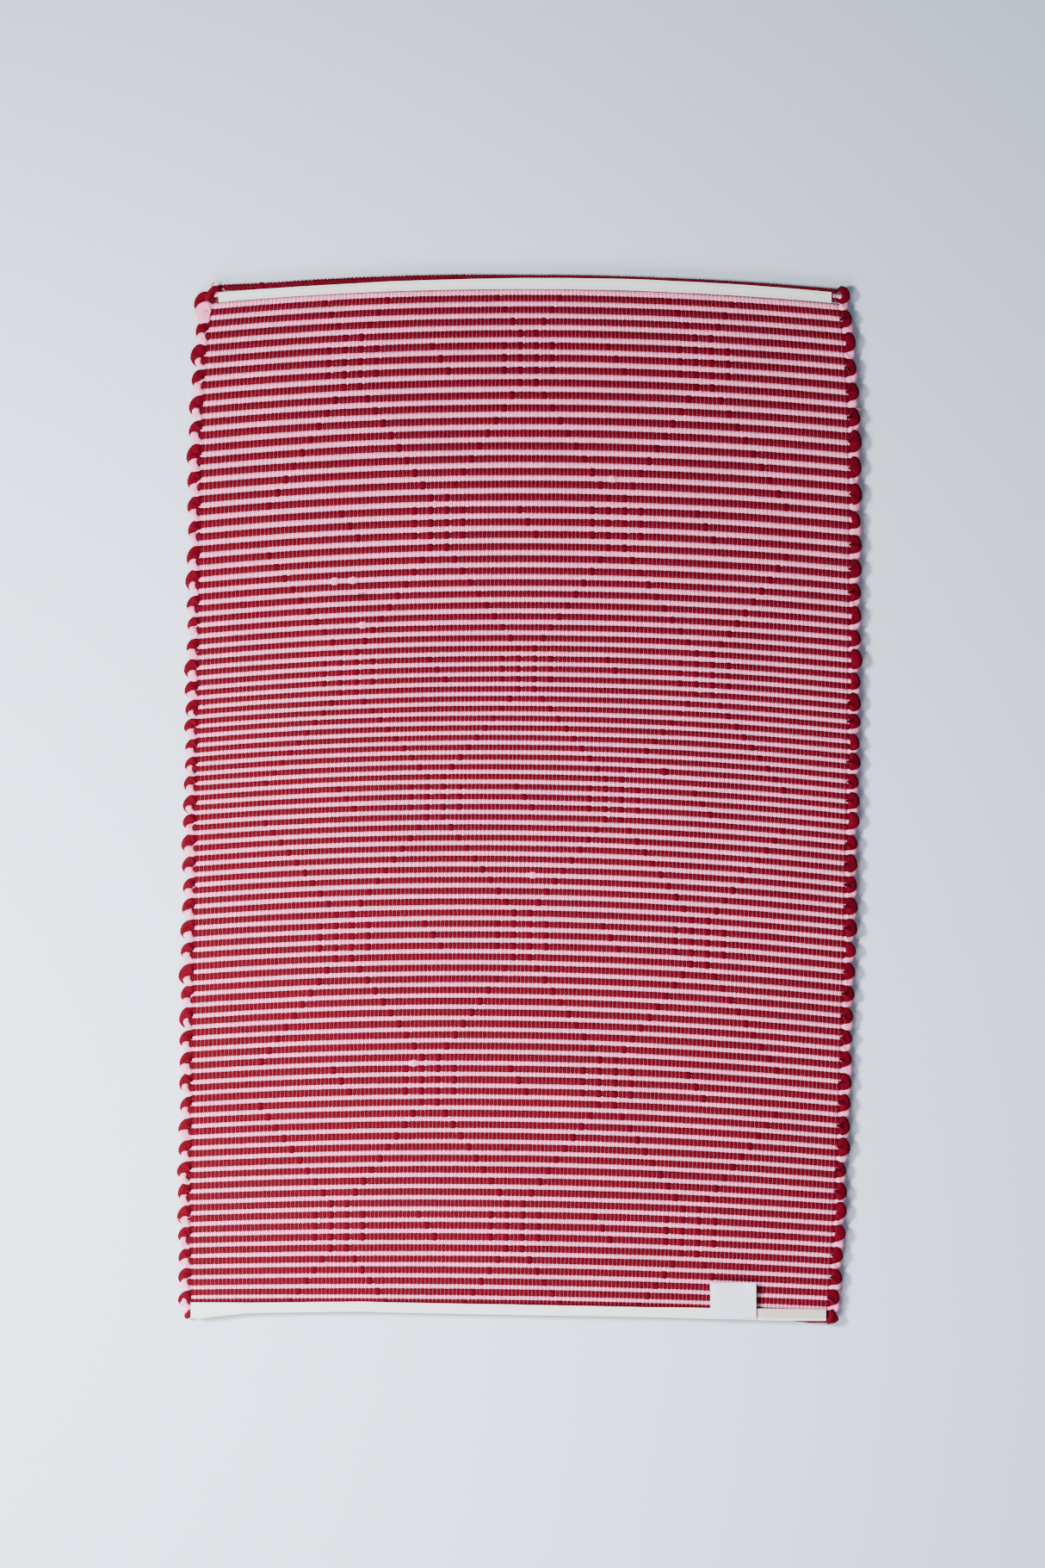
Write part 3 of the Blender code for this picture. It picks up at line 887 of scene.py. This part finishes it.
def sweep(name, strands, material, sides):
    """Tapered strands, each a list of (point, half width) along its middle line, as one piece."""
    points, faces, uvs, start = [], [], [], 0
    for number, strand in enumerate(strands):
        middle = np.array([place for place, _ in strand])
        width = np.array([half for _, half in strand])
        way = np.gradient(middle, axis=0)
        way /= np.maximum(np.linalg.norm(way, axis=1, keepdims=True), 1e-9)
        flat = np.cross(way, (0.0, 0.0, 1.0))
        flat = np.where(np.linalg.norm(flat, axis=1, keepdims=True) < 0.05, (1.0, 0.0, 0.0), flat)
        flat /= np.linalg.norm(flat, axis=1, keepdims=True)
        rise = np.cross(flat, way)
        angles = 2 * np.pi * np.arange(sides) / sides
        cos, sin = np.cos(angles)[None, :, None], np.sin(angles)[None, :, None]
        ring = flat[:, None] * cos + rise[:, None] * sin
        points.append((middle[:, None] + ring * width[:, None, None]).reshape(-1, 3))
        faces.append(between_rings(len(strand), sides, start)[:, [0, 3, 2, 1]])
        u, u2, v, v2 = strand_map(len(strand), sides, number, len(strands))
        uvs.append(np.stack([u, v, u2, v, u2, v2, u, v2], axis=-1).reshape(-1, 2))
        for first, order in ((start, 1), (start + (len(strand) - 1) * sides, -1)):
            quads, places = end_cap(first, sides, order)
            faces.append(quads)
            uvs.append(places)
        start += len(strand) * sides
    return mesh_piece(name, np.concatenate(points), np.concatenate(faces), material, np.concatenate(uvs))


def rounded(places, width, taper):
    """A strand along these places whose half width falls away towards both ends."""
    count = len(places)
    return [
        (place, width * (taper + (1 - taper) * math.sin(math.pi * (n + 0.5) / count) ** 0.6))
        for n, place in enumerate(places)
    ]


PILE_SIDES = 6
PILE_STEPS = 6
PILE_REACH = 0.0021


def pile_loop(row, cell):
    """One loop of red yarn, pulled out of the face side and flattened against the floor."""
    station = 2 * cell + 2
    x, y = weave.x[2 * row, station], weave.y[2 * row, station]
    top = WEFT_MIDDLE - WEFT_HALF_HEIGHT + 0.0012
    half_width = settings().pile_thickness / 2
    drop = top - FLOOR_Z - half_width
    lean, turn = rng.normal(0, 0.0011), rng.normal(0, 0.35)
    places = []
    for n in range(PILE_STEPS + 1):
        angle = math.pi * n / PILE_STEPS
        out, down = PILE_REACH * math.cos(angle), math.sin(angle)
        places.append((
            x + out * math.cos(turn), y + out * math.sin(turn) + lean * down, top - drop * down**0.7,
        ))
    return [(place, half_width) for place in places]


def fibre(start, way, length, half_width, curl):
    """One stray fibre that curls as it goes."""
    place, heading = np.array(start, float), math.atan2(way[1], way[0])
    lift, places = rng.uniform(-0.2, 0.5), []
    for n in range(6):
        places.append((tuple(place), half_width * (1 - 0.12 * n)))
        heading += rng.normal(0, curl)
        lift -= 0.12
        step = length / 5
        place = place + np.array([math.cos(heading), math.sin(heading), lift]) * step
        place[2] = max(place[2], FLOOR_Z + half_width)
    return places


SEAM_INSET, STITCH_DIP = 0.0012, 0.0004
# The label's own seam is finer
LABEL_STITCH_PITCH, LABEL_STITCH_HALF, LABEL_STITCH_TOP = 0.0026, 0.0009, 0.0006
LABEL_STITCH_DIP, LABEL_THREAD_HALF = 0.0003, 0.0002


def stitch(x, y, z, half, straight, dip, thin):
    """One stitch along x, straight on top as far as straight, whose ends dip into the cloth."""
    return [
        ((x - half, y, z - dip), thin), ((x - straight, y, z), thin),
        ((x + straight, y, z), thin), ((x + half, y, z - dip), thin),
    ]


def stitch_line(name, node, is_upper, is_outer, material, body):
    """A row of straight stitches along a tape's edge."""
    low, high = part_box(node)
    strands = []
    pitch, half = settings().stitch_pitch, settings().stitch_length / 2
    thin = settings().thread_thickness / 2
    count = int((high.x - low.x) / pitch)
    for n in range(count):
        x = low.x + pitch * (n + 0.5) + rng.normal(0, 0.00008)
        outer, inner = tape_edges(x, is_upper)
        depth = SEAM_INSET if is_outer else abs(inner - outer) - SEAM_INSET
        share = depth / abs(inner - outer)
        if is_outer and is_upper:
            share += 0.12
        y = outer + (inner - outer) * share
        z = low.z - 0.0001
        strands.append(stitch(x, y, z, half, half * 0.6, STITCH_DIP, thin))
    piece = sweep(name, strands, material, 4)
    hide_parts(node)
    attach(piece, body)


LABEL_INSET, LABEL_SHIFT = 0.0018, 0.0010    # off the label's left edge, and towards the first end


def label_leaf(name, node, shift, curl, material):
    """One leaf of the label, sewn at its foot and free beyond, with a soft curl."""
    low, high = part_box(node)
    piece = add_grid(name, 28, 20)
    foot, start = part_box("label_foot")[0].y + 0.0012, low.x + LABEL_INSET
    for v in piece.data.vertices:
        across, along = v.co.x + 0.5, v.co.y + 0.5
        x = start + (high.x - start) * across + shift * along
        y = foot + (high.y + 0.0008 - foot) * along + LABEL_SHIFT
        wave = 0.0003 * math.sin(3.0 * across + 2.0 * along) + 0.0002 * math.sin(7 * across + 1)
        z = low.z + 0.0002 + curl * along**2 * (0.5 + (across - 0.45) ** 2 * 2) + wave * along
        v.co = (x, y, z)
    thicken(piece, settings().label_thickness)
    piece.data.materials.append(material)
    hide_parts(node)
    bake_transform(piece)


# Settings

def colour_setting(label, description, default):
    return FloatVectorProperty(
        name=label, description=description, subtype="COLOR", size=3, default=default, min=0, max=1,
    )


def length_setting(label, description, default):
    return FloatProperty(
        name=label, description=description, unit="LENGTH", default=default, min=0.0001, precision=5,
    )


class BathMatSettings(bpy.types.PropertyGroup):
    red: colour_setting("Red", "Colour of the darker yarn", (0.094, 0.0, 0.006))
    pink: colour_setting("Pink", "Colour of the lighter yarn", (0.86, 0.262, 0.45))
    # The warp's pale pink dye is given darker and redder, with painted shade and a painted red reflection
    # from the rows around it
    warp: colour_setting("Warp", "Colour of the warp threads", (0.44, 0.10, 0.13))
    tape: colour_setting("Tape", "Colour of the hem tapes", (0.80, 0.81, 0.80))
    thread: colour_setting("Thread", "Colour of the sewing thread", (0.84, 0.82, 0.80))
    label: colour_setting("Label", "Colour of the care label", (0.68, 0.73, 0.86))
    floor: colour_setting("Floor", "Colour of the floor", (0.585, 0.65, 0.79))
    warp_thickness: length_setting("Warp Thickness", "Width of a warp thread", 0.00034)
    pile_thickness: length_setting("Pile Thickness", "Thickness of the yarn in a pile loop", 0.0025)
    tape_thickness: length_setting("Tape Thickness", "Thickness of the hem tapes", 0.0008)
    stitch_pitch: length_setting("Stitch Pitch", "Distance between the hem stitches", 0.0030)
    stitch_length: length_setting("Stitch Length", "Length of one hem stitch", 0.0021)
    thread_thickness: length_setting("Thread Thickness", "Thickness of the sewing thread", 0.0004)
    label_thickness: length_setting("Label Thickness", "Thickness of the label's cloth", 0.00026)


def settings():
    return bpy.context.scene.bath_mat


class BATHMAT_OT_stage(bpy.types.Operator):
    """Add the floor, the soft studio light and the camera"""

    bl_idname = "bath_mat.stage"
    bl_label = "Stage"

    def execute(self, context):
        stage_camera()
        bpy.ops.object.select_all(action="DESELECT")
        bpy.ops.mesh.primitive_plane_add(size=FLOOR_SIZE, location=(0, 0, FLOOR_Z))
        floor = context.object
        floor.name = "floor"
        floor.data.materials.append(floor_finish("floor", settings().floor))
        world = bpy.data.worlds.new("studio")
        world.use_nodes = True
        sky = world.node_tree.nodes["Background"]
        sky.inputs[0].default_value, sky.inputs[1].default_value = SKY_COLOUR, SKY_STRENGTH
        context.scene.world = world
        for name, place, size, power in LIGHTS:
            bpy.ops.object.light_add(type="AREA", location=place)
            light = context.object
            light.name = name
            light.data.size, light.data.energy, light.data.spread = size, power, LIGHT_SPREAD
            aim = Vector(LIGHT_AIM) - Vector(place)
            light.rotation_euler = aim.to_track_quat("-Z", "Y").to_euler()
        return {"FINISHED"}


class BATHMAT_OT_weft(bpy.types.Operator):
    """Weave the red and pink rows, each length of yarn with its turns at the edges"""

    bl_idname = "bath_mat.weft"
    bl_label = "Weft Yarns"

    def execute(self, context):
        red = cotton("red_cotton", settings().red, RED_FIBRE, 0.25, *RED_GROOVE)
        pink = cotton("pink_cotton", settings().pink, PINK_FIBRE, 0.45, *PINK_GROOVE)
        for lengths, colour, material in ((RED_LENGTHS, "red", red), (PINK_LENGTHS, "pink", pink)):
            for number, (first, last) in enumerate(lengths, 1):
                piece = weft_length(f"yarn_{colour}_{number}", first, last, colour == "red", material)
                carry(piece)
                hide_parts(f"weft_{colour}_{number}")
        return {"FINISHED"}


class BATHMAT_OT_warp(bpy.types.Operator):
    """Lay the warp threads over and under the rows"""

    bl_idname = "bath_mat.warp"
    bl_label = "Warp Threads"

    def execute(self, context):
        material = thread_finish("warp_cotton", settings().warp)
        for panel in range(4):
            stations = range(1, STATIONS - 1)[panel * STATIONS // 4:(panel + 1) * STATIONS // 4]
            piece = warp_set(f"warp_{panel + 1}", stations, material)
            lay_across_fold(piece)
            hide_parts(f"warp_upper_{panel + 1}", f"warp_lower_{panel + 1}")
        return {"FINISHED"}


class BATHMAT_OT_tapes(bpy.types.Operator):
    """Lay a twill tape over the warp ends at each end"""

    bl_idname = "bath_mat.tapes"
    bl_label = "Hem Tapes"

    def execute(self, context):
        material = tape_finish("hem_tape", settings().tape)
        tape_strip("tape_upper", "hem_tape_upper", True, material, "upper_half")
        tape_strip("tape_lower", "hem_tape_lower", False, material, "lower_half")
        return {"FINISHED"}


class BATHMAT_OT_seams(bpy.types.Operator):
    """Stitch the tapes down along both edges"""

    bl_idname = "bath_mat.seams"
    bl_label = "Hem Seams"

    def execute(self, context):
        material = thread_finish("sewing_thread", settings().thread)
        for half, body in (("upper", "upper_half"), ("lower", "lower_half")):
            for edge in ("outer", "inner"):
                stitch_line(
                    f"stitches_{half}_{edge}", f"hem_seam_{half}_{edge}",
                    half == "upper", edge == "outer", material, body,
                )
        return {"FINISHED"}


class BATHMAT_OT_pile(bpy.types.Operator):
    """Pull the lattice of pile loops out of the face side"""

    bl_idname = "bath_mat.pile"
    bl_label = "Pile Loops"

    def execute(self, context):
        material = cotton("loose_red_cotton", settings().red, LOOSE_RED_FIBRE, 0.30)
        strands = [pile_loop(row, cell) for row, cell in weave.loops]
        piece = sweep("pile_loops", strands, material, PILE_SIDES)
        lay_across_fold(piece)
        return {"FINISHED"}


class BATHMAT_OT_label(bpy.types.Operator):
    """Sew the folded care label to the last tape"""

    bl_idname = "bath_mat.label"
    bl_label = "Care Label"

    def execute(self, context):
        material = label_finish("label_cloth", settings().label)
        label_leaf("label_back", "label_leaf_back", -0.0007, 0.0006, material)
        label_leaf("label_front", "label_leaf_front", 0.0, 0.0009, material)
        low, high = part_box("label_foot")
        low += Vector((LABEL_INSET, LABEL_SHIFT, 0))
        high += Vector((0, LABEL_SHIFT, 0))
        bpy.ops.object.select_all(action="DESELECT")
        bpy.ops.mesh.primitive_cube_add(size=1, location=(low + high) / 2)
        foot = context.object
        foot.name = foot.data.name = "label_fold"
        foot.scale = high - low
        bpy.ops.object.transform_apply(location=True, rotation=False, scale=True)
        bpy.ops.object.modifier_add(type="BEVEL")
        foot.modifiers[-1].width, foot.modifiers[-1].segments = 0.00025, 3
        apply_last_modifier(foot)
        bpy.ops.object.shade_smooth_by_angle(angle=0.6)
        foot.data.materials.append(material)
        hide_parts("label_foot")
        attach(foot, "lower_half")
        thread = bpy.data.materials["sewing_thread"]
        low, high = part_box("label_seam")
        y, z = (low.y + high.y) / 2 + LABEL_SHIFT, high.z
        strands = []
        for n in range(int((high.x - low.x - LABEL_INSET) / LABEL_STITCH_PITCH)):
            x = low.x + LABEL_INSET + LABEL_STITCH_PITCH * (n + 0.5)
            strands.append(stitch(
                x, y, z, LABEL_STITCH_HALF, LABEL_STITCH_TOP, LABEL_STITCH_DIP, LABEL_THREAD_HALF,
            ))
        seam = sweep("label_stitches", strands, thread, 4)
        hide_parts("label_seam")
        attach(seam, "lower_half")
        return {"FINISHED"}


def row_end_point(row, on_left, dx, dy, dz):
    """A place beside the end of a row: dx is outwards, dy towards the first end."""
    end = 0 if on_left else STATIONS - 1
    sign = -1 if on_left else 1
    return (weave.x[row, end] + sign * dx, weave.y[row, end] + dy, weave.z[row, end] + dz)


def tuft(place, count, spread, length):
    """Frayed fibres that spring from one place."""
    return [
        fibre(
            (place[0] + rng.normal(0, spread), place[1] + rng.normal(0, spread), place[2]),
            (rng.normal(), rng.normal()), length * rng.uniform(0.6, 1.3), 0.00014, 0.35,
        )
        for _ in range(count)
    ]


LEFT, RIGHT = True, False
LAST, MIDDLE_ROW = ROWS - 1, 80
# A yarn end: its piece, half width, taper and places. A place is a row, a side, and then how far
# outwards, towards the first end, and up
YARN_ENDS = (
    ("red_ends_upper", 0.0029, 0.6, (
        (0, LEFT, -0.004, 0.0, 0.0014), (0, LEFT, 0.001, -0.0008, 0.0016),
        (0, LEFT, 0.0035, -0.0035, 0.0012), (2, LEFT, 0.0035, 0.0015, 0.0008),
        (2, LEFT, 0.0045, -0.001, 0.0002),
    )),
    ("pink_ends_upper", 0.0012, 0.2, (
        (1, LEFT, 0.002, 0.002, 0.001), (1, LEFT, 0.004, 0.0045, 0.001), (0, LEFT, 0.0015, 0.0045, 0.0002),
    )),
    ("red_ends_lower", 0.0030, 0.25, (
        (LAST, LEFT, -0.003, -0.0005, 0.0008), (LAST, LEFT, 0.001, -0.002, 0.0008),
        (LAST, LEFT, 0.003, -0.0045, 0.0002), (LAST, LEFT, 0.0035, -0.0065, -0.0008),
    )),
    ("red_ends_lower", 0.0036, 0.5, (
        (LAST, RIGHT, -0.001, -0.0006, 0.0008), (LAST, RIGHT, 0.0024, 0.0014, 0.001),
        (LAST, RIGHT, 0.0034, 0.0050, 0.0006), (LAST, RIGHT, 0.0022, 0.0086, 0.0),
    )),
    ("pink_ends_lower", 0.0026, 0.4, (
        (LAST - 1, LEFT, -0.001, 0.0, 0.0008), (LAST - 1, LEFT, 0.0035, -0.002, 0.001),
        (LAST - 1, LEFT, 0.004, -0.006, 0.0004),
    )),
)
# A tuft: its piece, place, number of fibres, spread and length
TUFTS = (
    ("red_ends_lower", row_end_point(LAST, RIGHT, 0.003, 0.001, 0.0015), 26, 0.0022, 0.0045),
    ("pink_ends_upper", row_end_point(0, LEFT, -0.001, 0.001, 0.002), 14, 0.0012, 0.007),
    ("red_ends_upper", (-0.1245, 0.1576, WEFT_MIDDLE + WEFT_HALF_HEIGHT), 22, 0.0013, 0.006),
    ("red_ends_upper", (-0.2464, 0.0736, 0.0072), 5, 0.0008, 0.004),
    ("red_ends_lower", (-0.0112, -0.274, 0.0076), 8, 0.0006, 0.003),
)
EDGE_TUFT_ROWS = ((LEFT, (60, 150, 168, 176)), (RIGHT, (20, 104, 170, 180)))


class BATHMAT_OT_ends(bpy.types.Operator):
    """Add the yarn ends at the corners, frayed tufts and stray fibres"""

    bl_idname = "bath_mat.ends"
    bl_label = "Yarn Ends and Fibres"

    def execute(self, context):
        materials = {
            "red": bpy.data.materials["loose_red_cotton"],
            "pink": cotton("loose_pink_cotton", settings().pink, PINK_FIBRE, 0.45),
        }
        strands = {f"{colour}_ends_{half}": [] for half in ("upper", "lower") for colour in ("red", "pink")}
        for name, width, taper, places in YARN_ENDS:
            strands[name].append(rounded([row_end_point(*place) for place in places], width, taper))
        for name, place, count, spread, length in TUFTS:
            strands[name] += tuft(place, count, spread, length)
        for side, rows in EDGE_TUFT_ROWS:
            for row in rows:
                name = "pink_ends_upper" if row < MIDDLE_ROW else "pink_ends_lower"
                strands[name] += tuft(row_end_point(row, side, 0.006, 0.0, 0.0012), 4, 0.0012, 0.008)
        for name, found in strands.items():
            colour, half = name.split("_ends_")
            piece = sweep(name, found, materials[colour], 6)
            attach(piece, f"{half}_half")
        return {"FINISHED"}


class BATHMAT_PT_sidebar(bpy.types.Panel):
    """The bath mat's pieces and settings"""

    bl_idname = "BATHMAT_PT_sidebar"
    bl_label = "Bath Mat"
    bl_space_type = "VIEW_3D"
    bl_region_type = "UI"
    bl_category = "Bath Mat"

    def draw(self, context):
        for name in BathMatSettings.__annotations__:
            self.layout.prop(context.scene.bath_mat, name)
        for operator in OPERATORS:
            self.layout.operator(operator.bl_idname)


OPERATORS = (
    BATHMAT_OT_stage, BATHMAT_OT_weft, BATHMAT_OT_warp, BATHMAT_OT_pile,
    BATHMAT_OT_tapes, BATHMAT_OT_seams, BATHMAT_OT_label, BATHMAT_OT_ends,
)
CLASSES = (BathMatSettings, *OPERATORS, BATHMAT_PT_sidebar)


def register():
    for cls in CLASSES:
        bpy.utils.register_class(cls)
    bpy.types.Scene.bath_mat = PointerProperty(type=BathMatSettings)


def unregister():
    del bpy.types.Scene.bath_mat
    for cls in reversed(CLASSES):
        bpy.utils.unregister_class(cls)


def main():
    register()
    bpy.ops.bath_mat.stage()
    bpy.ops.bath_mat.weft()
    bpy.ops.bath_mat.warp()
    bpy.ops.bath_mat.pile()
    bpy.ops.bath_mat.tapes()
    bpy.ops.bath_mat.seams()
    bpy.ops.bath_mat.label()
    bpy.ops.bath_mat.ends()


if __name__ == "__main__":
    main()
